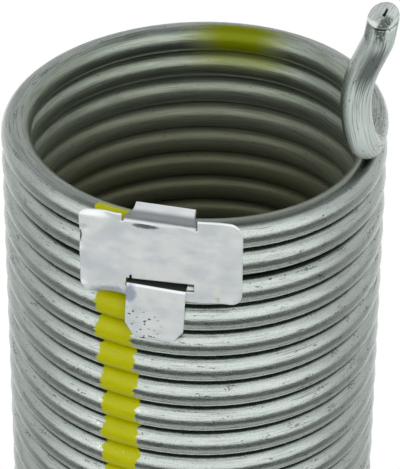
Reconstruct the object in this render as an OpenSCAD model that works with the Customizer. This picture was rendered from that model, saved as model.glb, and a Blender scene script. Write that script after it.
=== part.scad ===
// Garage door torsion spring: a close-wound, left-hand coil of galvanised round wire.
// Each end of the wire is bent into a hook that stands along the coil's axis.
// A folded sheet-metal tag is threaded around the two upper turns.
// Millimetres. +Z is the coil's axis, and the origin is on it, halfway along the coil.
// The tag faces -Y.

/* [Coil] */
// Clear diameter inside the coil
inner_d = 67; // [58:1:95]
// Diameter of the spring wire
wire_d = 6.2; // [5.6:0.1:7]
// Space between neighbouring turns of the closed coil
turn_gap = 0.05; // [0.03:0.01:0.2]
// Number of whole turns between the two hooks
turns = 80; // [20:1:110]

/* [Hooks] */
// Direction of both hooks around the axis, counted from +X
hook_azimuth = -15; // [-30:1:0]
// Centreline radius of the sharp bend out of the coil
hook_bend_r = 5; // [4.5:0.1:8]
// How far the hook leans towards the axis as it leaves the sharp bend
hook_lean_in = 14; // [8:1:16]
// Centreline radius of the long bend away from the axis
sweep_out_r = 24; // [18:1:30]
// Angle of the long bend away from the axis
sweep_out_angle = 36; // [30:1:40]
// Straight wire between the two long bends
sweep_straight = 5; // [2:0.5:8]
// Centreline radius of the bend back towards the axis
sweep_back_r = 8; // [6:0.5:14]
// Lean of the straight tail away from the axis
tail_lean = 8; // [0:1:12]
// Length of the straight tail, measured to the middle of the sheared end
tail_len = 4.7; // [4:0.1:12]
// Slant of the sheared end across the wire
shear_angle = 26; // [0:1:30]
// Side of the tail to which the sheared end slants down, counted around the tail
shear_turn = 75; // [-180:5:180]

/* [Tag] */
// Thickness of the tag's sheet
sheet_t = 0.3; // [0.25:0.05:0.3]
// Direction in which the tag faces, counted from +X
tag_azimuth = -100; // [-105:1:-95]
// Width of the tag's plate
plate_w = 32.3; // [26:0.1:34]
// Height of the tag's plate
plate_h = 18.8; // [18.5:0.1:22]
// Radius of the plate's corners
plate_corner_r = 2.4; // [1:0.1:4]
// Width of the strap that goes around the two turns
strap_w = 11.8; // [9:0.1:12]
// Width of the strap where it leaves the plate
strap_root_w = 14.2; // [12.5:0.1:14.5]
// Length of the strap's tongue in front of the plate
tongue_len = 11.8; // [8:0.1:14]
// Extra opening between the two turns where the strap comes out
strap_opening = 0.4; // [0.36:0.02:0.6]

/* [Hidden] */
$fn = 64;
coil_r = (inner_d + wire_d) / 2;

// A close angle whose sine and cosine have few digits. A rotation made of this one and the
// tiny rest is exact, and so the pieces of the wire that are placed by it meet exactly.
function few_digits(angle) =
    let (
        reach = floor(35 * sin(angle)),
        unit = sin(angle) < 0.1 ? 1e-7 : 1e-6,
        tries = [
            for (k = [-reach : reach])
                let (
                    c = (round(cos(angle) * 1e6) + k) / 1e6,
                    s = round(sqrt(1 - c * c) / unit) * unit
                )
                [abs(c * c + s * s - 1), atan2(s, c)]
        ],
        least = min([for (t = tries) t[0]])
    )
    [for (t = tries) if (t[0] == least) t[1]][0];

sweep_back_angle = sweep_out_angle - hook_lean_in - tail_lean;

pitch = wire_d + turn_gap;
half_drop = pitch / 2;
tilt = asin(half_drop / 2 / coil_r);
// distance from the axis at which every half turn starts and ends
end_r = coil_r * cos(tilt);
// the wide half turn is the fifth, behind the turn that the strap comes out above
wide_half_turn = 4;
wide_tilt = atan((half_drop + strap_opening) / 2 / end_r);
wide_r = end_r / cos(wide_tilt);
top_z = (turns * pitch + strap_opening) / 2;

// height at which the half turn numbered n from 0 starts
function start_z(n) = top_z - n * half_drop - (n > wide_half_turn ? strap_opening : 0);
// height of the wire's centre in front of the tag, on the turn numbered from 0
front_angle = tag_azimuth + 180 - hook_azimuth;
function front_z(turn) =
    start_z(2 * turn + 1) - pitch / 4 - pitch / 4 * cos(front_angle + 180);

// the tag's own frame: X points out of the coil, Y along the plate, Z up
seat_gap = 0.05;
plate_x = coil_r + wire_d / 2 + seat_gap + sheet_t / 2;
plate_off = 0.55;
strap_off = 0.4;
plate_top_z = top_z + 0.42;
root_z = top_z - 1.5;
lead_in = 1.2;
fold_r = 0.75;
fold_angle = 105;
dip_r = 4;
dip_angle = 27;
rise_len = 1.2;
leg_x = sqrt(pow(inner_d / 2, 2) - pow(strap_w / 2, 2)) - sheet_t / 2 - 0.08 - plate_x;
foot_r = 0.9;
foot_slope = 4;
tongue_r = 0.6;
tongue_gap = 0.52;
gap_z = (front_z(1) + front_z(2)) / 2 - root_z;
gap_x = coil_r - 0.25 - plate_x;
slot_z0 = top_z - 16.1;
slot_h = 1.85;
slot_y0 = -6.3;
slot_y1 = 7.3;

// A point of the strap's path is [x, z, heading], with x from the plate and z from the root.
function last(points) = points[len(points) - 1];
function flat(p, len) = [[p[0] + len * cos(p[2]), p[1] + len * sin(p[2]), p[2]]];
function bend(p, r, a) = [
    for (k = [1 : 8])
        let (h = p[2] + a * k / 8, way = a > 0 ? r : -r)
        [p[0] + way * (sin(h) - sin(p[2])), p[1] + way * (cos(p[2]) - cos(h)), h]
];

// from the plate over the top turn and down to the inside of the coil
dip = bend(flat([0, -lead_in, 90], lead_in)[0], fold_r, fold_angle);
crest_angle = 180 - fold_angle + dip_angle;
// the dip is as long as it takes for the leg to come down close to the coil
crest_trial = bend(last(bend([0, 0, last(dip)[2]], dip_r, -dip_angle)), fold_r, crest_angle);
rise_trial = flat([0, 0, last(dip)[2] - dip_angle], rise_len);
dip_len = (last(dip)[0] + last(crest_trial)[0] + rise_trial[0][0] - leg_x)
    / -cos(last(dip)[2]);
hollow = bend(flat(last(dip), dip_len)[0], dip_r, -dip_angle);
crest = bend(flat(last(hollow), rise_len)[0], fold_r, crest_angle);
// down inside two turns and out between the next
foot_end_z = gap_z + (gap_x - leg_x - foot_r * (1 - sin(foot_slope))) * tan(foot_slope);
leg_len = last(crest)[1] - foot_end_z - foot_r * cos(foot_slope);
foot = bend(flat(last(crest), leg_len)[0], foot_r, 90 - foot_slope);
through_len = (tongue_gap - tongue_r * (1 - sin(foot_slope)) - last(foot)[0])
    / cos(foot_slope);
tongue = bend(flat(last(foot), through_len)[0], tongue_r, foot_slope - 90);
strap_path = concat(
    [[0, -lead_in, 90], [0, 0, 90]],
    dip, hollow, crest, foot, tongue,
    flat(last(tongue), tongue_len)
);
function beside(p, off) = [p[0] - off * sin(p[2]), p[1] + off * cos(p[2])];

// Moves by whole hundredths and then by the small rest, so that joints meet exactly.
module shift(v) {
    coarse = [for (c = v) round(c * 100) / 100];
    translate(coarse) translate(v - coarse) children();
}

// Turns about one axis, by the close angle and then by the small rest.
module turn(angles) {
    coarse = [for (a = angles) sign(a) * few_digits(abs(a))];
    rotate(coarse) rotate(angles - coarse) children();
}

// Moves and turns whatever follows a bend to the bend's end.
module after_bend(r, a) {
    way = a > 0 ? 1 : -1;
    shift([r * sin(abs(a)), 0, way * r * (1 - cos(a))])
        turn([0, -a, 0])
            children();
}

// Hook wire: pieces are laid end to end, each drawn from the origin along +X.

module wire_straight(len) {
    rotate([0, 90, 0]) cylinder(h = len, d = wire_d);
    translate([len, 0, 0]) children();
}

module wire_bend(r, a) {
    mirror([0, 0, a > 0 ? 0 : 1])
        translate([0, 0, r])
            rotate([90, 0, 0])
                rotate([0, 0, -90])
                    rotate_extrude(angle = abs(a))
                        translate([r, 0])
                            circle(d = wire_d);
    after_bend(r, a) children();
}

// The tail ends in a slanted, sheared face.
module wire_tail(len) {
    difference() {
        rotate([0, 90, 0]) cylinder(h = len + wire_d, d = wire_d);
        translate([len, 0, 0])
            rotate([shear_turn, 0, 0])
                rotate([0, shear_angle, 0])
                    translate([0, -wire_d, -wire_d])
                        cube([3 * wire_d, 2 * wire_d, 2 * wire_d]);
    }
}

// Half a turn is an exact half ring, tilted so that it drops by half the pitch.
// Its ends lie level, so that each half turn runs on smoothly from the one before.
module half_turn(n) {
    way = n % 2 == 0 ? 1 : -1;
    wide = n == wide_half_turn;
    ring_r = wide ? wide_r : coil_r;
    shift([0, 0, (start_z(n) + start_z(n + 1)) / 2])
        turn([0, -way * (wide ? wide_tilt : tilt), 0])
            rotate([0, 0, way > 0 ? 0 : 180])
                rotate_extrude(angle = 180)
                    shift([ring_r, 0])
                        circle(d = wire_d);
}

// The hook turns up out of the last turn, sweeps outwards and ends in a short tail.
module hook() {
    shift([end_r, 0, top_z])
        rotate([0, 0, -90])
            turn([hook_lean_in, 0, 0])
                wire_bend(hook_bend_r, 90)
                    rotate([-90, 0, 0])
                        wire_straight(1)
                            wire_bend(sweep_out_r, sweep_out_angle)
                                wire_straight(sweep_straight)
                                    wire_bend(sweep_back_r, -sweep_back_angle)
                                        wire_tail(tail_len);
}

module spring_wire() {
    color([0.72, 0.75, 0.73])
        rotate([0, 0, hook_azimuth])
            union() {
                union() {
                    for (n = [0 : 2 * turns - 1]) {
                        half_turn(n);
                    }
                    hook();
                }
                rotate([180, 0, 0]) hook();
            }
}

// The strap is its bent edge-on outline, cut to its widths: it narrows from the root as
// seen from above, and the tongue has cut corners as seen from the front.
module strap() {
    cut_z = -lead_in - 0.6;
    tongue_end = last(strap_path)[1] - cut_z;
    narrow_x = last(hollow)[0];
    intersection() {
        rotate([90, 0, 0])
            linear_extrude(2 * strap_root_w, center = true)
                polygon(concat(
                    [for (p = strap_path) beside(p, sheet_t / 2)],
                    [for (k = [1 : len(strap_path)])
                        beside(strap_path[len(strap_path) - k], -sheet_t / 2)]
                ));
        union() {
            translate([0, 0, cut_z])
                linear_extrude(12)
                    polygon([
                        [2, -strap_root_w / 2], [2, strap_root_w / 2],
                        [-0.8, strap_root_w / 2], [narrow_x, strap_w / 2],
                        [leg_x - 3, strap_w / 2], [leg_x - 3, -strap_w / 2],
                        [narrow_x, -strap_w / 2], [-0.8, -strap_root_w / 2]
                    ]);
            translate([leg_x - 3, 0, cut_z])
                rotate([90, 0, 90])
                    linear_extrude(-leg_x + 5)
                        polygon([
                            [-strap_w / 2, 0], [-strap_w / 2, tongue_end + 3],
                            [-strap_w / 2 + 2.8, tongue_end - 0.5],
                            [strap_w / 2 - 2.8, tongue_end - 0.5],
                            [strap_w / 2, tongue_end + 3], [strap_w / 2, 0]
                        ]);
        }
    }
}

// Outline of the plate, seen from the front with X to the right and Y up.
module plate_outline() {
    y1 = plate_top_z;
    y0 = y1 - plate_h;
    x0 = plate_off - plate_w / 2;
    x1 = plate_off + plate_w / 2;
    r = plate_corner_r;
    difference() {
        union() {
            translate([x0 + r, y0]) square([plate_w - 2 * r, plate_h]);
            translate([x0, y0 + r]) square([plate_w, plate_h - 2 * r]);
            for (x = [x0 + r, x1 - r]) {
                for (y = [y0 + r, y1 - r]) {
                    translate([x, y]) circle(r = r);
                }
            }
        }
        // notch above the root of the strap
        translate([strap_off, root_z])
            rotate(-tilt)
                translate([-strap_root_w / 2 - 0.35, 0])
                    square([strap_root_w + 0.7, 4]);
        // slot for the tongue, with a small nick at its upper left corner
        translate([slot_y0, slot_z0]) square([slot_y1 - slot_y0, slot_h]);
        translate([slot_y0 + 0.7, slot_z0 + slot_h - 0.1]) square([0.5, 0.9]);
    }
}

module tag() {
    color([0.82, 0.84, 0.88])
        rotate([0, 0, tag_azimuth])
            translate([plate_x, 0, 0])
                union() {
                    translate([-sheet_t / 2, 0, 0])
                        rotate([90, 0, 90])
                            linear_extrude(sheet_t)
                                plate_outline();
                    translate([0, strap_off, root_z])
                        rotate([-tilt, 0, 0])
                            strap();
                }
}

spring_wire();
tag();
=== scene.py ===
import math

import bpy
import numpy as np
from mathutils import Matrix, Vector, noise


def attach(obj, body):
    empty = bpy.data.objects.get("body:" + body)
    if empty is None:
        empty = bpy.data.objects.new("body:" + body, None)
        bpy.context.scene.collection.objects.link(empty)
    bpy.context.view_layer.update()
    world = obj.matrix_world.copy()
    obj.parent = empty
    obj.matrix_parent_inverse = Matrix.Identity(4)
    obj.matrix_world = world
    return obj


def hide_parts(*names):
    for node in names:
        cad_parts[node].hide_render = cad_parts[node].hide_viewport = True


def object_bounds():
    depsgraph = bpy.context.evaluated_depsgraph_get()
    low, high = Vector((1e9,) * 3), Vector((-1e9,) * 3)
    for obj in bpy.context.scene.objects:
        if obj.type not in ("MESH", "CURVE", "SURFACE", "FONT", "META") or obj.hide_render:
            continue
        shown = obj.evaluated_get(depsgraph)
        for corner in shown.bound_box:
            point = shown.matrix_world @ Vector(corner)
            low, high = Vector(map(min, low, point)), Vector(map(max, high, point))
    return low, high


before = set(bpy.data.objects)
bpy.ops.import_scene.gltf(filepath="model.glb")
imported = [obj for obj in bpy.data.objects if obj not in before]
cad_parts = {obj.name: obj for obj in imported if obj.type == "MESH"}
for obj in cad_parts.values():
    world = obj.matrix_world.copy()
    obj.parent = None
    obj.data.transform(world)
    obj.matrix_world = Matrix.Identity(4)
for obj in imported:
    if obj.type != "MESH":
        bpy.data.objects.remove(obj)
cad_box = [list(corner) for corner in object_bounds()]

# ---------------------------------------------------------------- spring wire
# One length of round spring wire, drawn, galvanised and wound into a close left-hand
# coil. Both ends are bent up into a hook and cut off on a shear, which leaves a slanted
# face with a tear in it and a burr along its lower edge.
WIRE_R = 0.0031
COIL_R = 0.0366
TURNS = 80
WIDE_HALF_TURN = 4
HOOK_AZIMUTH = math.radians(-15)

# the wire goes down by half_drop in half a turn; the fifth half turn, at the back, goes
# down by more, which opens the two turns in front that the tag's strap comes out between
half_drop = 0.003125
STRAP_OPENING = 0.0004
tilt = math.asin(half_drop / 2 / COIL_R)
end_r = COIL_R * math.cos(tilt)
wide_drop = half_drop + STRAP_OPENING
wide_tilt = math.atan(wide_drop / 2 / end_r)
wide_r = end_r / math.cos(wide_tilt)
top_z = (TURNS * 2 * half_drop + STRAP_OPENING) / 2
SKIN_R = 39.7  # millimetres from the axis to the coil's outside
FAR_AWAY = 30  # the largest distance in millimetres that a paint mark keeps
TAIL = 0.0047
END_ROWS = 5  # rings that are slid along the tail to slant with its end
TUCKED_ROWS = 18  # rings that know how far down from the sheared face they are


def coil_point(turn_angle):
    """Centre of the wire after so many radians from the top end of the coil."""
    n = min(int(turn_angle / math.pi), 2 * TURNS - 1)
    u = turn_angle - n * math.pi
    wide = n == WIDE_HALF_TURN
    ring_r, lean = (wide_r, wide_tilt) if wide else (COIL_R, tilt)
    start = top_z - n * half_drop - (wide_drop - half_drop if n > WIDE_HALF_TURN else 0)
    drop = wide_drop if wide else half_drop
    way = 1 if n % 2 == 0 else -1
    return Vector((
        way * ring_r * math.cos(u) * math.cos(lean),
        way * ring_r * math.sin(u),
        start - drop / 2 + ring_r * math.sin(lean) * math.cos(u),
    ))


def bend_points(at, r, angle, steps):
    """Points along a bend from the frame at, and the frame at its end."""
    way = 1 if angle > 0 else -1
    points = []
    for k in range(1, steps + 1):
        a = abs(angle) * k / steps
        points.append(at @ Vector((r * math.sin(a), 0, way * r * (1 - math.cos(a)))))
    end = at @ Matrix.Translation(
        (r * math.sin(abs(angle)), 0, way * r * (1 - math.cos(angle)))
    )
    return points, end @ Matrix.Rotation(-angle, 4, "Y")


def hook_path():
    """Points from the coil's end to the tail's sheared face, and the tail's frame."""
    at = Matrix.Translation((end_r, 0, top_z))
    at = at @ Matrix.Rotation(math.radians(-90), 4, "Z")
    at = at @ Matrix.Rotation(math.radians(14), 4, "X")
    points, at = bend_points(at, 0.005, math.radians(90), 14)
    at = at @ Matrix.Rotation(math.radians(-90), 4, "X") @ Matrix.Translation((0.001, 0, 0))
    points.append(at.translation.copy())
    more, at = bend_points(at, 0.024, math.radians(36), 16)
    points += more
    at = at @ Matrix.Translation((0.005, 0, 0))
    points += [points[-1].lerp(at.translation, k / 5) for k in range(1, 6)]
    more, at = bend_points(at, 0.008, math.radians(-14), 8)
    points += more
    at = at @ Matrix.Translation((TAIL, 0, 0))
    points += [points[-1].lerp(at.translation, k / 5) for k in range(1, 6)]
    return points, at


hook_points, tail_frame = hook_path()
turn_over = Matrix.Rotation(math.pi, 4, "X")
# the upper turns have more points around them than the rest
FINE_TURNS, FINE_STEPS, COARSE_STEPS = 14, 72, 40
fine = [k * math.tau / FINE_STEPS for k in range(FINE_TURNS * FINE_STEPS)]
coarse = [
    k * math.tau / COARSE_STEPS
    for k in range(FINE_TURNS * COARSE_STEPS, TURNS * COARSE_STEPS + 1)
]
centres = list(reversed(hook_points))
hook_rings = len(centres)
centres += [coil_point(a) for a in fine + coarse]
centres += [turn_over @ p for p in hook_points]
spin = Matrix.Rotation(HOOK_AZIMUTH, 4, "Z")
centres = [spin @ p for p in centres]

# grain: a place on the wire's skin, around it and along it; outward: 1 on the coil's
# outside, -1 inside and more on the hooks; stripe and patch: millimetres sideways from the
# two paint marks; cut: a place on a sheared face, with 1 as its third number there and less
# on the wire beside it
SIDES = 24
verts, faces, grain, outward, stripe, patch, cut = [], [], [], [], [], [], []
normal = None
along = 0.0
dice = np.random.default_rng(5)
sway = np.cumsum(dice.normal(0, 0.35, TURNS + 4))
sway -= np.linspace(0, sway[-1], len(sway))
sway = sway * 0.7 + np.interp(range(len(sway)), (0, 3, 10, 16), (2.0, 1.7, -0.5, 0.0))


def mark(p, azimuth, drift):
    """How far to the side of a mark's middle line the point is, in millimetres."""
    turn = (math.atan2(p.y, p.x) - math.radians(azimuth) + math.pi) % math.tau - math.pi
    level = (top_z - p.z) / half_drop / 2
    lean = drift * np.interp(level, range(len(sway)), sway) if level > 0 else 0
    return min(abs(turn * SKIN_R + lean), FAR_AWAY)


for i, c in enumerate(centres):
    before, after = centres[max(i - 1, 0)], centres[min(i + 1, len(centres) - 1)]
    heading = (after - before).normalized()
    if normal is None:
        normal = heading.orthogonal().normalized()
    normal = (normal - heading * normal.dot(heading)).normalized()
    side = heading.cross(normal)
    if i:
        along += (c - centres[i - 1]).length
    radial = Vector((c.x, c.y, 0)).normalized()
    in_hook = max(hook_rings - i, i - (len(centres) - 1 - hook_rings), 0)
    for k in range(SIDES):
        a = math.tau * k / SIDES
        n = normal * math.cos(a) + side * math.sin(a)
        verts.append(c + n * WIRE_R)
        grain.append((math.cos(a), math.sin(a), along * 100))
        outward.append(n.dot(radial) + min(in_hook / 4, 2))
        cut.append((0, -9, 0))
        stripe.append(mark(c, -112, 1))
        patch.append(mark(c, 74, 0))

# the rings at both ends are slid along the tail onto the sheared face
shear = Matrix.Rotation(math.radians(75), 4, "X") @ Matrix.Rotation(math.radians(26), 4, "Y")
shear_normal = (tail_frame @ shear).to_3x3() @ Vector((1, 0, 0))
tail_way = tail_frame.to_3x3() @ Vector((1, 0, 0))
ends = [
    (0, spin @ tail_frame.translation, spin @ tail_way, spin @ shear_normal),
    (
        len(centres) - 1,
        spin @ turn_over @ tail_frame.translation,
        spin @ turn_over @ tail_way,
        spin @ turn_over @ shear_normal,
    ),
]
for ring, at, way, face_normal in ends:
    for step in range(END_ROWS):
        row = ring + step if ring == 0 else ring - step
        share = 1 - step / END_ROWS
        for k in range(SIDES):
            v = verts[row * SIDES + k]
            slide = (at - v).dot(face_normal) / way.dot(face_normal)
            base = (at - v).dot(way)
            verts[row * SIDES + k] = v + way * (slide - base) * share

for i in range(len(centres) - 1):
    for k in range(SIDES):
        a, b = i * SIDES + k, i * SIDES + (k + 1) % SIDES
        faces.append((a, b, b + SIDES, a + SIDES))

# sheared faces: the rim is rolled over except along the burr, which stands up as a lip, and
# rings run in to the middle of a slightly bulging face with a tear in it
burr_edges = []
RINGS = 10
for ring, at, way, face_normal in ends:
    rim = [ring * SIDES + k for k in range(SIDES)]
    up = (way - face_normal * way.dot(face_normal)).normalized()
    across = face_normal.cross(up)
    flat = [verts[v].copy() for v in rim]
    for k in range(SIDES):
        p = flat[k] - at
        s, t = p.dot(across) / WIRE_R, p.dot(up) / WIRE_R
        lip = min(max(-t * 1.8 - 0.45, 0), 1) * min(max(s * 3 + 0.9, 0), 1)
        ragged = noise.noise(flat[k] * 2500) * 0.00009
        rolled = (1 - lip) * 0.00022 + 0.00075 * min(max(-s - 0.1, 0) / 0.9, 1) ** 1.5
        shrink = 0.03 * (1 - lip) + 0.09 * min(max(-s, 0), 1)
        verts[rim[k]] = flat[k] - way * rolled - p * shrink + p * lip * (0.02 + ragged * 300)
        if lip > 0.3:
            burr_edges.append((rim[k], rim[(k + 1) % SIDES]))
    for row in range(TUCKED_ROWS):
        for k in range(SIDES):
            v = (ring + row if ring == 0 else ring - row) * SIDES + k
            from_rim = (flat[k] - verts[v]).dot(way) if row else 0
            front = (flat[k] - at).dot(up) / WIRE_R
            down = front - from_rim / WIRE_R if front < 0 or not row else -9
            cut[v] = ((flat[k] - at).dot(across) / WIRE_R, down, 0 if row else 0.3)
    last = rim
    for ring_number in range(1, RINGS + 1):
        share = 0.93 if ring_number == 1 else 0.95 * (1 - (ring_number - 1) / (RINGS - 0.4))
        this = []
        for k in range(SIDES):
            p = at + (flat[k] - at) * share
            s, t = (p - at).dot(across) / WIRE_R, (p - at).dot(up) / WIRE_R
            rough = noise.noise(p * 1800) * 0.00006
            tear = math.exp(-(((s - 0.12 * t + 0.02) / 0.12) ** 2)) * (-0.15 < t < 0.5)
            hollow = 0.0002 * min(max(-t * 1.8 - 0.45, 0), 1) * (ring_number in (2, 3)) * (s > 0)
            bulge = 0.00016 * (1 - s * s - t * t)
            slope_down = 0.00065 * min(max(-s - 0.05, 0) / 0.95, 1) ** 1.4
            this.append(len(verts))
            verts.append(p + face_normal * (bulge + rough - hollow - 0.00035 * tear - slope_down))
            grain.append((s * 1.4, 5, t * 0.35))
            outward.append(3)
            stripe.append(FAR_AWAY)
            patch.append(FAR_AWAY)
            cut.append((s, t, 1))
        for k in range(SIDES):
            j = (k + 1) % SIDES
            quad = (last[k], this[k], this[j], last[j])
            faces.append(quad if ring else quad[::-1])
        last = this
    faces.append(tuple(last[::-1] if ring == 0 else last))

mesh = bpy.data.meshes.new("wire")
mesh.from_pydata(verts, [], faces)
for name, values in (("grain", grain), ("cut", cut)):
    mesh.attributes.new(name, "FLOAT_VECTOR", "POINT").data.foreach_set(
        "vector", np.array(values, dtype=np.float32).ravel()
    )
for name, values in (("outward", outward), ("stripe", stripe), ("patch", patch)):
    mesh.attributes.new(name, "FLOAT", "POINT").data.foreach_set("value", values)
mesh.shade_smooth()
sharp = {tuple(sorted(e)) for e in burr_edges}
for edge in mesh.edges:
    if tuple(sorted(edge.vertices)) in sharp:
        edge.use_edge_sharp = True
wire = bpy.data.objects.new("wire", mesh)
bpy.context.collection.objects.link(wire)
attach(wire, "root")
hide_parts("spring_wire")


def add(tree, kind, sources=None, **settings):
    """Adds a node, sets its properties, and joins or sets its inputs."""
    new = tree.nodes.new(kind)
    for name, value in settings.items():
        setattr(new, name, value)
    for name, value in (sources or {}).items():
        if isinstance(value, bpy.types.NodeSocket):
            tree.links.new(value, new.inputs[name])
        else:
            new.inputs[name].default_value = value
    return new


def ramp(tree, source, low, high, to_low=0.0, to_high=1.0):
    """A value that goes from to_low to to_high as the source goes from low to high."""
    return add(
        tree,
        "ShaderNodeMapRange",
        {"Value": source, "From Min": low, "From Max": high, "To Min": to_low, "To Max": to_high},
        interpolation_type="SMOOTHSTEP",
    ).outputs["Result"]


def sums(tree, operation, a, b=0.5):
    """One step of arithmetic on two values, the second of which is a half if not given."""
    return add(tree, "ShaderNodeMath", {0: a, 1: b}, operation=operation).outputs[0]


def blend(tree, share, a, b):
    """Colour a with so much of colour b over it."""
    node = add(tree, "ShaderNodeMix", {0: share, 6: a, 7: b}, data_type="RGBA")
    return node.outputs[2]


# noise that is stretched along the grain, built once for the wire and for the tag
stretched = bpy.data.node_groups.new("stretched_noise", "ShaderNodeTree")
for name, kind in (
    ("Place", "NodeSocketVector"),
    ("Stretch", "NodeSocketVector"),
    ("Shift", "NodeSocketVector"),
    ("Detail", "NodeSocketFloat"),
):
    stretched.interface.new_socket(name, in_out="INPUT", socket_type=kind)
stretched.interface.new_socket("Value", in_out="OUTPUT", socket_type="NodeSocketFloat")
given = add(stretched, "NodeGroupInput").outputs
spread = add(
    stretched,
    "ShaderNodeMapping",
    {"Vector": given["Place"], "Location": given["Shift"], "Scale": given["Stretch"]},
).outputs[0]
field = add(
    stretched, "ShaderNodeTexNoise", {"Vector": spread, "Scale": 1.0, "Detail": given["Detail"]}
).outputs["Fac"]
add(stretched, "NodeGroupOutput", {"Value": field})


def grained(tree, place, stretch, detail=3.0, shift=0.0):
    """Noise with its own scale around the wire and along it."""
    inputs = {
        "Place": place,
        "Stretch": stretch,
        "Shift": (shift, shift * 2, shift * 3),
        "Detail": detail,
    }
    return add(tree, "ShaderNodeGroup", inputs, node_tree=stretched).outputs["Value"]


# Drawn and galvanised steel: bright zinc with drawing lines, pits and rub marks along the
# wire, darker and duller inside the coil with painted shade deepening downwards, painted shade
# and highlights around the turns, and one stripe of yellow marking paint.
zinc = bpy.data.materials.new("galvanised_wire")
zinc.use_nodes = True
mesh.materials.append(zinc)
t = zinc.node_tree
zinc_shader = t.nodes["Principled BSDF"]
place = add(t, "ShaderNodeAttribute", attribute_name="grain").outputs["Vector"]
out = add(t, "ShaderNodeAttribute", attribute_name="outward").outputs["Fac"]
stripe_x = add(t, "ShaderNodeAttribute", attribute_name="stripe").outputs["Fac"]
patch_x = add(t, "ShaderNodeAttribute", attribute_name="patch").outputs["Fac"]
object_place = add(t, "ShaderNodeTexCoord").outputs["Object"]
height = add(t, "ShaderNodeSeparateXYZ", {0: object_place}).outputs["Z"]

lines = grained(t, place, (12, 12, 1.3), 5, 1.0)
fine_lines = grained(t, place, (20, 20, 7.0), 2, 7.0)
mottle = grained(t, place, (2.5, 2.5, 2.2), 4, 3.0)
crumbs = grained(t, place, (9, 9, 22), 2, 5.0)
pits = grained(t, place, (8, 8, 7), 1, 9.0)
scores = grained(t, place, (13, 13, 0.9), 1, 4.0)

below_top = ramp(t, height, top_z + 0.001, top_z - 0.003)
hooked = ramp(t, out, 1.2, 2.0)
inside = ramp(t, sums(t, "SUBTRACT", out, sums(t, "MULTIPLY", below_top, 0.5)), -0.3, -0.75)
depth = ramp(t, height, top_z + 0.002, top_z - 0.034)
bright = blend(t, ramp(t, lines, 0.32, 0.52), (0.36, 0.41, 0.38, 1), (0.49, 0.54, 0.51, 1))
bright = blend(t, ramp(t, mottle, 0.35, 0.65, 0, 0.35), bright, (0.57, 0.62, 0.59, 1))
bright = blend(t, ramp(t, scores, 0.68, 0.74, 0, 0.75), bright, (0.12, 0.13, 0.12, 1))
grit = grained(t, place, (14, 14, 34), 2, 6.0)
bright = blend(t, ramp(t, grit, 0.5, 0.68, 0, 0.42), bright, (0.25, 0.285, 0.26, 1))
scab_field = grained(t, place, (2.6, 2.6, 2.4), 2, 11.0)
scabs = sums(t, "MULTIPLY", ramp(t, scab_field, 0.60, 0.68), ramp(t, crumbs, 0.48, 0.58))
bright = blend(t, sums(t, "MULTIPLY", scabs, 0.7), bright, (0.08, 0.09, 0.085, 1))
facing = add(t, "ShaderNodeNewGeometry").outputs["Normal"]
skyward = add(t, "ShaderNodeSeparateXYZ", {0: facing})
# painted shade: the upward-facing crown of the top turn, darkened in streaks along the drawing
# lines
crown_shade = sums(t, "MULTIPLY", ramp(t, skyward.outputs["Z"], 0.45, 0.85), ramp(t, below_top, 1, 0))
crown_lines = ramp(t, lines, 0.38, 0.53, 0.7, 0.15)
bright = blend(t, sums(t, "MULTIPLY", crown_shade, crown_lines), bright, (0.17, 0.20, 0.185, 1))
# inside the coil: the wire's own olive tone, with painted shade that deepens further down the
# coil
inside_tone_and_shade = blend(t, depth, (0.36, 0.41, 0.35, 1), (0.15, 0.16, 0.095, 1))
inside_tone_and_shade = blend(t, ramp(t, lines, 0.3, 0.6, 0.45, 0), inside_tone_and_shade, (0.07, 0.08, 0.05, 1))
stem = add(t, "ShaderNodeSeparateXYZ", {0: place}).outputs["Z"]
from_middle = sums(t, "ABSOLUTE", sums(t, "SUBTRACT", stem, 1.05))
from_middle = sums(t, "ADD", from_middle, sums(t, "MULTIPLY", sums(t, "SUBTRACT", lines), 1.2))
pale = blend(t, ramp(t, lines, 0.34, 0.52), (0.36, 0.41, 0.385, 1), (0.68, 0.76, 0.72, 1))
bright = blend(t, hooked, bright, pale)
shaded = ramp(t, skyward.outputs["X"], -0.75, -0.2)
shaded = sums(t, "MULTIPLY", ramp(t, from_middle, 0.75, 0.25), shaded)
shaded = sums(t, "MULTIPLY", shaded, ramp(t, skyward.outputs["X"], 0.8, 0.35))
bright = blend(t, sums(t, "MULTIPLY", shaded, 0.9), bright, (0.10, 0.12, 0.115, 1))
# the bend's inner side is pitted; each turn gets a painted highlight on its downward-facing side,
# where it lies on the next, and painted shade in the crease between them
pitted = sums(t, "MULTIPLY", ramp(t, crumbs, 0.54, 0.64), ramp(t, stem, 2.9, 3.2))
pitted = sums(t, "MULTIPLY", pitted, ramp(t, stem, 4.8, 4.2))
pitted = sums(t, "MULTIPLY", pitted, ramp(t, skyward.outputs["Z"], -0.5, 0.1))
bright = blend(t, sums(t, "MULTIPLY", pitted, 0.75), bright, (0.10, 0.12, 0.11, 1))
# painted highlight: a pale band on the downward-facing side of each outer turn, not on the hooks
underside_highlight = ramp(t, skyward.outputs["Z"], -0.42, -0.56)
underside_highlight = sums(t, "MULTIPLY", underside_highlight, ramp(t, skyward.outputs["Z"], -0.9, -0.8))
underside_highlight = sums(t, "MULTIPLY", sums(t, "MULTIPLY", underside_highlight, ramp(t, out, 0.2, 0.5)), 0.8)
underside_highlight = sums(t, "MULTIPLY", underside_highlight, sums(t, "SUBTRACT", 1.0, hooked))
bright = blend(t, underside_highlight, bright, (0.88, 0.93, 0.90, 1))
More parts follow.
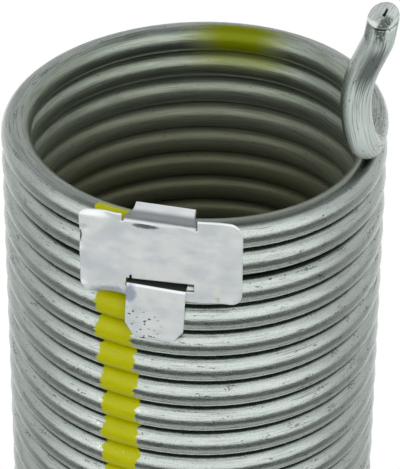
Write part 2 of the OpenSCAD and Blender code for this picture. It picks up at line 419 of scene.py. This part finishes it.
# painted shade: dark where the wire faces straight up or down, where each turn touches the next,
# below the top end
crease_shade = ramp(t, sums(t, "ABSOLUTE", skyward.outputs["Z"]), 0.80, 0.90)
crease_shade = sums(t, "MULTIPLY", crease_shade, sums(t, "MULTIPLY", below_top, ramp(t, stem, 2.9, 3.4)))
bright = blend(t, sums(t, "MULTIPLY", crease_shade, 0.8), bright, (0.12, 0.135, 0.12, 1))
colour = blend(t, inside, bright, inside_tone_and_shade)
spots = ramp(t, pits, 0.72, 0.77)
colour = blend(t, sums(t, "MULTIPLY", spots, 0.8), colour, (0.05, 0.055, 0.05, 1))

# paint: an uneven edge that steps from turn to turn, thin where the coil turns inwards, with
# pale flecks beside it, and a breath of it on the inside of the upper turns at the back
level_noise = add(
    t, "ShaderNodeTexNoise", {"W": sums(t, "MULTIPLY", height, 190.0), "Detail": 1.0},
    noise_dimensions="1D",
).outputs["Fac"]
edge = sums(t, "MULTIPLY", sums(t, "SUBTRACT", grained(t, place, (1.1, 1.1, 3), 4, 2.0)), 2.2)
edge = sums(t, "ADD", edge, sums(t, "MULTIPLY", sums(t, "SUBTRACT", level_noise), 1.6))
edge = sums(t, "ADD", edge, sums(t, "MULTIPLY", sums(t, "SUBTRACT", lines), -1.1))
distance_in = sums(t, "ADD", stripe_x, edge)
painted = ramp(t, distance_in, 4.15, 3.75)
painted = sums(t, "MULTIPLY", painted, ramp(t, out, -0.35, 0.1))
worn = ramp(t, sums(t, "ADD", crumbs, sums(t, "MULTIPLY", lines, 0.4)), 0.90, 0.96)
painted = sums(t, "MULTIPLY", painted, sums(t, "SUBTRACT", 1.0, sums(t, "MULTIPLY", worn, 0.6)))
flecks = sums(t, "MULTIPLY", ramp(t, crumbs, 0.52, 0.6), ramp(t, stripe_x, 7.5, 5.0))
flecks = sums(t, "MULTIPLY", flecks, ramp(t, mottle, 0.5, 0.62))
flecks = sums(t, "MULTIPLY", flecks, ramp(t, out, 0.3, 0.7))
colour = blend(t, flecks, colour, (0.80, 0.80, 0.66, 1))
yellow = blend(t, mottle, (0.42, 0.43, 0.0, 1), (0.56, 0.56, 0.001, 1))
colour_painted = blend(t, painted, colour, yellow)
haze = sums(t, "ADD", patch_x, sums(t, "MULTIPLY", mottle, 5.0))
haze = sums(t, "MULTIPLY", ramp(t, haze, 20.0, 6.0), ramp(t, out, 0.25, -0.3))
haze = sums(t, "MULTIPLY", haze, ramp(t, height, top_z - 0.0115, top_z - 0.002))
colour_painted = blend(t, haze, colour_painted, (0.20, 0.235, 0.0, 1))
dielectric = sums(t, "MAXIMUM", painted, sums(t, "MULTIPLY", haze, 0.7))
cloudy = sums(t, "MULTIPLY", inside, ramp(t, depth, 0.0, 1.0, 0.08, 0.7))
dielectric = sums(t, "MAXIMUM", dielectric, cloudy)
dielectric = sums(t, "MAXIMUM", dielectric, sums(t, "MULTIPLY", hooked, 0.85))

# the sheared face is matt and light, with a dark tear and a painted highlight along the burr's
# lip
cut = add(t, "ShaderNodeAttribute", attribute_name="cut").outputs["Vector"]
on_cut = add(t, "ShaderNodeSeparateXYZ", {0: cut})
ragged_edge = sums(t, "MULTIPLY", sums(t, "SUBTRACT", mottle), 0.5)
from_left = sums(t, "ADD", on_cut.outputs["X"], ragged_edge)
on_face = ramp(t, on_cut.outputs["Z"], 0.35, 0.75)
sheared = sums(t, "MULTIPLY", on_face, ramp(t, from_left, -0.12, 0.05))
torn = sums(t, "SUBTRACT", on_cut.outputs["X"], sums(t, "MULTIPLY", on_cut.outputs["Y"], 0.12))
torn = sums(t, "ADD", torn, sums(t, "MULTIPLY", sums(t, "SUBTRACT", mottle), 0.25))
torn = ramp(t, sums(t, "ABSOLUTE", torn), 0.09, 0.04)
torn = sums(t, "MULTIPLY", torn, ramp(t, on_cut.outputs["Y"], -0.25, 0.0))
torn = sums(t, "MULTIPLY", torn, ramp(t, on_cut.outputs["Y"], 0.6, 0.45))
torn = sums(t, "MULTIPLY", torn, on_face)
# beside the tear the skin is stripped and dark, with loose flakes of zinc, down the stem
stripped = ramp(t, sums(t, "ABSOLUTE", sums(t, "ADD", from_left, 0.36)), 0.42, 0.22)
stripped = sums(t, "MULTIPLY", stripped, ramp(t, on_cut.outputs["Y"], 0.25, -0.2))
stripped = sums(t, "MULTIPLY", stripped, ramp(t, on_cut.outputs["Y"], -2.6, -1.6))
flakes = ramp(t, crumbs, 0.52, 0.66, 0.9, 0.15)
stripped = sums(t, "MULTIPLY", stripped, flakes)
colour_painted = blend(t, stripped, colour_painted, (0.05, 0.07, 0.06, 1))
fresh = blend(t, ramp(t, lines, 0.3, 0.7), (0.40, 0.44, 0.42, 1), (0.66, 0.70, 0.68, 1))
crumbly = sums(t, "MULTIPLY", ramp(t, crumbs, 0.5, 0.62), ramp(t, on_cut.outputs["X"], 0.42, 0.1))
crumbly = sums(t, "MULTIPLY", crumbly, ramp(t, on_cut.outputs["Y"], 0.2, -0.1))
fresh = blend(t, sums(t, "MULTIPLY", crumbly, 0.8), fresh, (0.08, 0.10, 0.09, 1))
colour_painted = blend(t, sheared, colour_painted, fresh)
colour_painted = blend(t, torn, colour_painted, (0.01, 0.01, 0.01, 1))
# painted highlight along the burr's lip at the lower edge of the sheared face
ridge_at = sums(t, "MULTIPLY", sums(t, "ABSOLUTE", from_left), -0.25)
ridge_at = sums(t, "ADD", on_cut.outputs["Y"], ridge_at)
ridge_at = sums(t, "ADD", ridge_at, sums(t, "MULTIPLY", sums(t, "SUBTRACT", mottle), 0.4))
burr_highlight = ramp(t, sums(t, "ABSOLUTE", sums(t, "ADD", ridge_at, 1.0)), 0.24, 0.12)
burr_highlight = sums(t, "MULTIPLY", burr_highlight, ramp(t, from_left, -0.1, 0.1))
burr_highlight = sums(t, "MULTIPLY", burr_highlight, ramp(t, on_cut.outputs["Z"], 0.0, 0.3))
colour_painted = blend(t, burr_highlight, colour_painted, (0.86, 0.92, 0.88, 1))
sheared = sums(t, "MAXIMUM", sheared, burr_highlight)
dielectric = sums(t, "MAXIMUM", dielectric, sums(t, "MULTIPLY", sheared, 0.6))

t.links.new(colour_painted, zinc_shader.inputs["Base Color"])
bare = sums(t, "SUBTRACT", 1.0, dielectric)
t.links.new(bare, zinc_shader.inputs["Metallic"])
rough = ramp(t, fine_lines, 0.3, 0.7, 0.2, 0.32)
rough = sums(t, "ADD", rough, sums(t, "MULTIPLY", inside, 0.08))
rough = sums(t, "ADD", rough, sums(t, "MULTIPLY", hooked, 0.1))
rough = sums(t, "ADD", rough, sums(t, "MULTIPLY", sheared, 0.1))
t.links.new(rough, zinc_shader.inputs["Roughness"])
zinc_shader.inputs["Specular IOR Level"].default_value = 0.17
relief = sums(t, "ADD", lines, sums(t, "MULTIPLY", fine_lines, 0.6))
relief = sums(t, "SUBTRACT", relief, sums(t, "MULTIPLY", spots, 1.2))
zinc_bump = add(t, "ShaderNodeBump", {"Height": relief, "Strength": 0.35, "Distance": 0.00006})
t.links.new(zinc_bump.outputs[0], zinc_shader.inputs["Normal"])

# ----------------------------------------------------------------------- tag
# One piece of thin sheet: a plate, and a strap that is folded over the top turn, goes down
# inside the coil, comes out below the second turn and through the plate's slot, and ends
# in a tongue folded down in front. It was bent by hand, so its edges curl a little.
SHEET = 0.3
TAG_AZIMUTH = math.radians(-100)
PLATE_X = 39.9
STRAP_OFF = 0.4
ROOT_Z = -1.5
CORNER_R = 2.4
slope = math.tan(tilt)


def bump(value, centre, width):
    """1 at the centre, falling off evenly to nothing on both sides."""
    return math.exp(-(((value - centre) / width) ** 2))


def ease(value, start, end):
    """0 up to the start, 1 from the end on, and a soft step between."""
    t = min(max((value - start) / (end - start), 0), 1)
    return t * t * (3 - 2 * t)


columns = sorted({
    *np.round(np.linspace(-6.7, 7.5, 29), 4),
    *np.round(np.linspace(-15.6, -13.2, 11), 4),
    *np.round(np.linspace(-13.2, -7.05, 13), 4),
    *np.round(np.linspace(7.85, 14.3, 13), 4),
    *np.round(np.linspace(14.3, 16.7, 9), 4),
    -6.3, -5.6, -5.1, 7.3,
})
rows = sorted({
    *np.round(np.linspace(0.42, -1.5, 6), 4),
    *np.round(np.linspace(-1.5, -14.25, 36), 4),
    *np.round(np.linspace(-16.1, -18.38, 11), 4),
    -1.98, -15.98, -14.25, -15.2, -16.1, -13.45,
}, reverse=True)
tag_verts, tag_faces, blank, index = [], [], [], {}


def plate_bend(s, z):
    """How far the hand-bent sheet stands out from flat, in millimetres."""
    left = ease(-s, 12.6, 15.6) ** 2
    x = -left * (0.7 + 0.3 * math.sin(z * 0.83 + 0.4) + 0.1 * math.sin(z * 2.3 + 1.0))
    x -= 0.55 * bump(s, -14.5, 0.9) * bump(z, -3.9, 0.8)
    x -= 0.9 * ease(-s, 14.9, 15.6) * bump(z, -6.3, 0.7)
    x -= 0.6 * ease(-z, 16.9, 18.4) * ease(-s, 5.8, 7.6) * ease(s, -14.6, -12.4)
    x -= 0.35 * ease(s, 14.2, 16.7) ** 2
    x -= 0.3 * ease(-z, 17.4, 18.4) * ease(s, 8.5, 12.0)
    x -= 0.5 * ease(z, -1.6, 0.4) * ease(-s, 8.0, 12.0)
    free = ease(abs(s - 0.4), 6.5, 10.5)
    x -= free * 0.35 * (0.5 + 0.5 * math.sin(s * 0.55 + 1.0) * math.cos(z * 0.31 + 0.5))
    middle = (1 - free) * ease(-z, 2.2, 5.5) * ease(z, -13.6, -10.5)
    return x + middle * 0.16


def plate_point(s, z):
    """A point of the plate from its place in the flat blank, in the tag's own frame."""
    for sc, side in ((-13.2, -1), (14.3, 1)):
        for zc, way in ((-1.98, 1), (-15.98, -1)):
            u, v = (s - sc) * side / CORNER_R, (z - zc) * way / CORNER_R
            if u > 0 and v > 0:
                shrink = max(u, v) / math.hypot(u, v)
                s, z = sc + side * u * shrink * CORNER_R, zc + way * v * shrink * CORNER_R
    x = plate_bend(s, z)
    near_root = 1 - (z - ROOT_Z) / 1.92 if z > ROOT_Z else 1 - (ROOT_Z - z) / 6
    z -= slope * (s - STRAP_OFF) * max(near_root, 0)
    return Vector((x, s, z))


def tag_vertex(key, point, place):
    if key not in index:
        index[key] = len(tag_verts)
        tag_verts.append(point)
        blank.append(place)
    return index[key]


def in_hole(s, z):
    notch = -7.05 < s < 7.85 and z > ROOT_Z
    slot = -6.3 < s < 7.3 and -16.1 < z < -14.25
    nick = -5.6 < s < -5.1 and -14.3 < z < -13.45
    return notch or slot or nick


for z1, z0 in zip(rows, rows[1:]):
    for s0, s1 in zip(columns, columns[1:]):
        if not in_hole((s0 + s1) / 2, (z0 + z1) / 2):
            corners = ((s0, z0), (s1, z0), (s1, z1), (s0, z1))
            tag_faces.append([tag_vertex(c, plate_point(*c), (*c, 0)) for c in corners])

# the strap's bent path: x from the plate's middle, z from its root, and heading
path = [(0.0, 0.0, 90.0)]


def go(length, steps):
    x, z, h = path[-1]
    a = math.radians(h)
    for k in range(1, steps + 1):
        gone = length * k / steps
        path.append((x + gone * math.cos(a), z + gone * math.sin(a), h))


def bend(r, angle, steps):
    x, z, h = path[-1]
    way = r if angle > 0 else -r
    for k in range(1, steps + 1):
        a, b = math.radians(h), math.radians(h + angle * k / steps)
        path.append((
            x + way * (math.sin(b) - math.sin(a)),
            z + way * (math.cos(a) - math.cos(b)),
            h + angle * k / steps,
        ))


leg_x = math.sqrt(33.5**2 - 5.9**2) - 0.15 - 0.08 - PLATE_X
bend(0.75, 117, 8)
bend(6.1, -39, 12)
go((path[-1][0] - leg_x - 0.906) / math.cos(math.radians(12)), 2)
bend(0.75, 102, 8)
foot_start = len(path) + 8
foot_slope = math.radians(4)
foot_out = 36.35 - PLATE_X - leg_x - 0.9 * (1 - math.sin(foot_slope))
foot_z = -13.7 + foot_out * math.tan(foot_slope)
go(path[-1][1] - foot_z - 0.9 * math.cos(foot_slope), 8)
bend(0.9, 86, 6)
go((0.52 - 0.6 * (1 - math.sin(foot_slope)) - path[-1][0]) / math.cos(foot_slope), 6)
bend(0.6, -86, 6)
tongue_start = len(path) - 1
go(11.8, 16)

root_columns = [c for c in columns if -6.71 < c < 7.51]
last_row = [index[(c, -1.5)] for c in root_columns]
lean = Matrix.Rotation(-tilt, 3, "X")
crest_at = 8 + 12 + 2
run = 0.0
for k, (x, z, h) in enumerate(path[1:], 1):
    narrow = ease(k, 6, crest_at)
    left = -7.1 + narrow * 1.2
    right = 7.1 - narrow * 1.2
    below = 0
    if k > tongue_start:
        below = max(0, (path[tongue_start][1] - z) - 8.8) * 0.8
    row = []
    for c in root_columns:
        share = (c + 6.7) / 14.2
        y = left + share * (right - left)
        y = min(max(y, left + below), right - below)
        dent = 0.0
        if k > tongue_start:
            down = path[tongue_start][1] - z
            dent = 0.3 * bump(y, -5.6, 1.5) * bump(down, 2.4, 2.0)
            dent -= 0.22 * bump(y, 0.5, 5.0) * bump(down, 5.5, 4.0) * ease(down, 0, 2)
            dent -= 0.25 * ease(down, 9.0, 11.8)
        sag = 0.32 * ease(y, -5.9, 5.9) * ease(k, foot_start, tongue_start)
        p = lean @ Vector((x - dent, y, z - sag))
        run += 0 if row else math.dist(path[k][:2], path[k - 1][:2])
        place = (y, run, 0.5)
        if k > foot_start:
            down = path[tongue_start][1] - z if k > tongue_start else 0.5
            place = (y, down if k > tongue_start - 4 else 0, 1)
        row.append(tag_vertex((k, c), p + Vector((0, STRAP_OFF, ROOT_Z)), place))
    for j in range(len(row) - 1):
        tag_faces.append([last_row[j], last_row[j + 1], row[j + 1], row[j]])
    last_row = row

to_row = Matrix.Translation((0, 0, top_z)) @ Matrix.Rotation(TAG_AZIMUTH, 4, "Z")
tag_mesh = bpy.data.meshes.new("tag_sheet")
tag_mesh.from_pydata(
    [to_row @ (Vector((PLATE_X + v[0], v[1], v[2])) * 0.001) for v in tag_verts], [], tag_faces
)
tag_mesh.attributes.new("blank", "FLOAT_VECTOR", "POINT").data.foreach_set(
    "vector", np.array(blank, dtype=np.float32).ravel()
)
tag_mesh.shade_smooth()
tag = bpy.data.objects.new("tag_sheet", tag_mesh)
bpy.context.collection.objects.link(tag)
thick = tag.modifiers.new("thickness", "SOLIDIFY")
thick.thickness, thick.offset, thick.use_even_offset = SHEET * 0.001, 0, True
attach(tag, "root")
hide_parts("tag")

# Bare rolled sheet, pale and soft in its shine, cloudy from handling, with faint rolling
# lines along it, a few pits in the tongue and a yellow smear near one corner.
tag_material = bpy.data.materials.new("tag_sheet")
tag_material.use_nodes = True
tag_mesh.materials.append(tag_material)
t = tag_material.node_tree
tag_shader = t.nodes["Principled BSDF"]
blank_place = add(t, "ShaderNodeAttribute", attribute_name="blank").outputs["Vector"]
on_blank = add(t, "ShaderNodeSeparateXYZ", {0: blank_place})
clouds = grained(t, blank_place, (0.16, 0.20, 1.0), 3, 2.0)
wipes = grained(t, blank_place, (0.3, 1.4, 1.0), 3, 5.0)
scuffs = grained(t, blank_place, (1.1, 1.3, 1.0), 2, 8.0)
speck_field = grained(t, blank_place, (1.3, 1.5, 1.0), 1, 12.0)
dents = grained(t, blank_place, (0.22, 0.30, 1.0), 1, 3.0)
across_tag, down_tag = on_blank.outputs["X"], on_blank.outputs["Y"]
on_strap = ramp(t, on_blank.outputs["Z"], 0.1, 0.4)
on_tongue = ramp(t, on_blank.outputs["Z"], 0.8, 0.95)
on_plate = sums(t, "SUBTRACT", 1.0, on_strap)


def patch_on_tag(zone, x, y, width, height, share):
    """An oval mark with ragged edges, at a place in the flat blank."""
    dx = sums(t, "DIVIDE", sums(t, "SUBTRACT", across_tag, x), width)
    dy = sums(t, "DIVIDE", sums(t, "SUBTRACT", down_tag, y), height)
    far = sums(t, "ADD", sums(t, "MULTIPLY", dx, dx), sums(t, "MULTIPLY", dy, dy))
    far = sums(t, "ADD", far, sums(t, "MULTIPLY", sums(t, "SUBTRACT", scuffs), 1.2))
    return sums(t, "MULTIPLY", sums(t, "MULTIPLY", ramp(t, far, 1.3, 0.3), zone), share)


sheet = blend(t, ramp(t, clouds, 0.36, 0.64), (0.80, 0.845, 0.89, 1), (0.93, 0.97, 0.96, 1))
sheet = blend(t, ramp(t, wipes, 0.55, 0.75, 0, 0.3), sheet, (0.97, 0.99, 0.99, 1))
sheet = blend(t, ramp(t, scuffs, 0.64, 0.78, 0, 0.15), sheet, (0.50, 0.54, 0.60, 1))

# painted shade where the sheet is bent or dented: the strap's hollow, the lower left edge, beside
# the root, a dent and a nick in the left edge and the tongue's upper corner; a painted shadow
# where it comes out below
# painted shade in the strap's hollow over the top turn
strap_hollow_shade = sums(t, "MULTIPLY", ramp(t, down_tag, 0.1, 0.7), ramp(t, down_tag, 5.8, 3.9))
strap_hollow_shade = sums(t, "MULTIPLY", sums(t, "MULTIPLY", strap_hollow_shade, on_strap), 0.85)
strap_hollow_shade = sums(t, "MULTIPLY", strap_hollow_shade, sums(t, "SUBTRACT", 1.0, on_tongue))
slot_shadow = sums(t, "MULTIPLY", ramp(t, down_tag, 0.25, 0.05), on_tongue)
sheet = blend(t, strap_hollow_shade, sheet, (0.20, 0.21, 0.23, 1))
# patches of painted shade, in order: the lower left edge that faces down, a shadow beside the
# root, the nick and the dent in the left edge, and the tongue's dented upper corner
for zone, x, y, width, tall, share, tint in (
    (on_plate, -9.6, -18.2, 4.2, 1.7, 0.75, (0.33, 0.37, 0.43, 1)),
    (on_plate, -2.4, -1.9, 2.6, 0.6, 0.9, (0.10, 0.11, 0.12, 1)),
    (on_plate, -15.5, -6.2, 0.5, 1.3, 0.95, (0.06, 0.07, 0.07, 1)),
    (on_plate, -14.8, -4.0, 0.9, 0.7, 0.35, (0.38, 0.42, 0.46, 1)),
    (on_tongue, -5.2, 2.0, 1.5, 2.0, 0.8, (0.36, 0.40, 0.55, 1)),
):
    sheet = blend(t, patch_on_tag(zone, x, y, width, tall, share), sheet, tint)
# painted shadow at the top of the tongue, where the strap comes out of the slot
sheet = blend(t, slot_shadow, sheet, (0.03, 0.033, 0.03, 1))

# pits in the lower half of the tongue only
low_tongue = sums(t, "MULTIPLY", on_tongue, ramp(t, across_tag, 2.5, -0.5))
low_tongue = sums(t, "MULTIPLY", low_tongue, ramp(t, down_tag, 4.5, 6.5))
tag_pits = sums(t, "MULTIPLY", ramp(t, speck_field, 0.62, 0.66), low_tongue)
sheet = blend(t, tag_pits, sheet, (0.04, 0.045, 0.05, 1))
from_smear = add(
    t, "ShaderNodeVectorMath", {0: blank_place, 1: (11.8, -17.2, 0)}, operation="DISTANCE"
).outputs["Value"]
from_smear = sums(t, "ADD", from_smear, sums(t, "MULTIPLY", scuffs, 3.0))
smear = ramp(t, from_smear, 2.3, 1.6, 0, 0.55)
sheet = blend(t, smear, sheet, (0.62, 0.58, 0.25, 1))
t.links.new(sheet, tag_shader.inputs["Base Color"])
bare_sheet = ramp(t, strap_hollow_shade, 0, 1, 0.3, 0.6)
bare_sheet = sums(t, "MULTIPLY", bare_sheet, sums(t, "SUBTRACT", 1.0, slot_shadow))
t.links.new(bare_sheet, tag_shader.inputs["Metallic"])
t.links.new(ramp(t, clouds, 0.3, 0.7, 0.3, 0.42), tag_shader.inputs["Roughness"])
tag_relief = sums(t, "MULTIPLY", dents, 8.0)
tag_relief = sums(t, "SUBTRACT", tag_relief, sums(t, "MULTIPLY", tag_pits, 0.8))
tag_bump = add(t, "ShaderNodeBump", {"Height": tag_relief, "Strength": 0.5, "Distance": 0.0001})
t.links.new(tag_bump.outputs[0], tag_shader.inputs["Normal"])

# -------------------------------------------------------------------- camera
# A long lens looks down on the hook and the upper turns, from the side of the tag.
scene = bpy.context.scene
camera = bpy.data.objects.new("camera", bpy.data.cameras.new("camera"))
bpy.context.collection.objects.link(camera)
elevation, roll, distance = math.radians(33.392), math.radians(0.487), 0.561753
target = Vector((0.001298, 0, top_z - 0.029287))
forward = Vector((0, math.cos(elevation), -math.sin(elevation)))
up = Vector((0, math.sin(elevation), math.cos(elevation)))
right = Vector((1, 0, 0))
right_rolled = right * math.cos(roll) + up * math.sin(roll)
up_rolled = up * math.cos(roll) - right * math.sin(roll)
stand = target - forward * distance
camera.matrix_world = Matrix((
    *[(right_rolled[i], up_rolled[i], -forward[i], stand[i]) for i in range(3)],
    (0, 0, 0, 1),
))
camera.data.lens = 204.7
camera.data.sensor_width = 36
camera.data.clip_start, camera.data.clip_end = 0.01, 20
scene.camera = camera

# --------------------------------------------------------- floor and lighting
# A plain pale floor, and a plain studio around it: soft light from the sides and more of it
# from in front, a dimmer ceiling, and below the horizon a ground that goes from dark grey on
# the near side to white at the back.
floor_mesh = bpy.data.meshes.new("floor")
floor_mesh.from_pydata(
    [
        (0.42 * math.cos(a), 0.42 * math.sin(a), cad_box[0][2] - 0.001)
        for a in np.linspace(0, math.tau, 64, endpoint=False)
    ],
    [],
    [tuple(range(64))],
)
floor = bpy.data.objects.new("floor", floor_mesh)
bpy.context.collection.objects.link(floor)
floor_material = bpy.data.materials.new("floor")
floor_material.use_nodes = True
floor_shader = floor_material.node_tree.nodes["Principled BSDF"]
floor_shader.inputs["Base Color"].default_value = (0.8, 0.8, 0.8, 1)
floor_mesh.materials.append(floor_material)

world = bpy.data.worlds.new("studio")
scene.world = world
world.use_nodes = True
w = world.node_tree
way_out = add(w, "ShaderNodeTexCoord").outputs["Generated"]
parts = add(w, "ShaderNodeSeparateXYZ", {0: way_out})
ceiling = ramp(w, parts.outputs["Z"], 0.78, 0.93)
low = ramp(w, parts.outputs["Z"], -0.08, -0.18)
front = ramp(w, parts.outputs["Y"], 0.1, -0.5)
level = blend(w, front, (0.70, 0.70, 0.70, 1), (1.35, 1.35, 1.35, 1))
level = blend(w, ceiling, level, (0.30, 0.30, 0.30, 1))
ground_way = add(w, "ShaderNodeMapRange", {"Value": parts.outputs["Y"], "From Min": -1.0})
ground = add(w, "ShaderNodeValToRGB", {0: ground_way.outputs["Result"]})
ground.color_ramp.elements[0].position = 0.1
ground.color_ramp.elements[0].color = (0.12, 0.13, 0.11, 1)
ground.color_ramp.elements[1].position = 0.87
ground.color_ramp.elements[1].color = (1, 1, 1, 1)
for position, grey in ((0.42, 0.22), (0.6, 0.38), (0.74, 0.55)):
    ground.color_ramp.elements.new(position).color = (grey, grey, grey, 1)
level = blend(w, low, level, ground.outputs["Color"])
w.links.new(level, w.nodes["Background"].inputs["Color"])
w.nodes["Background"].inputs["Strength"].default_value = 1.0

scene.view_settings.view_transform = "Standard"
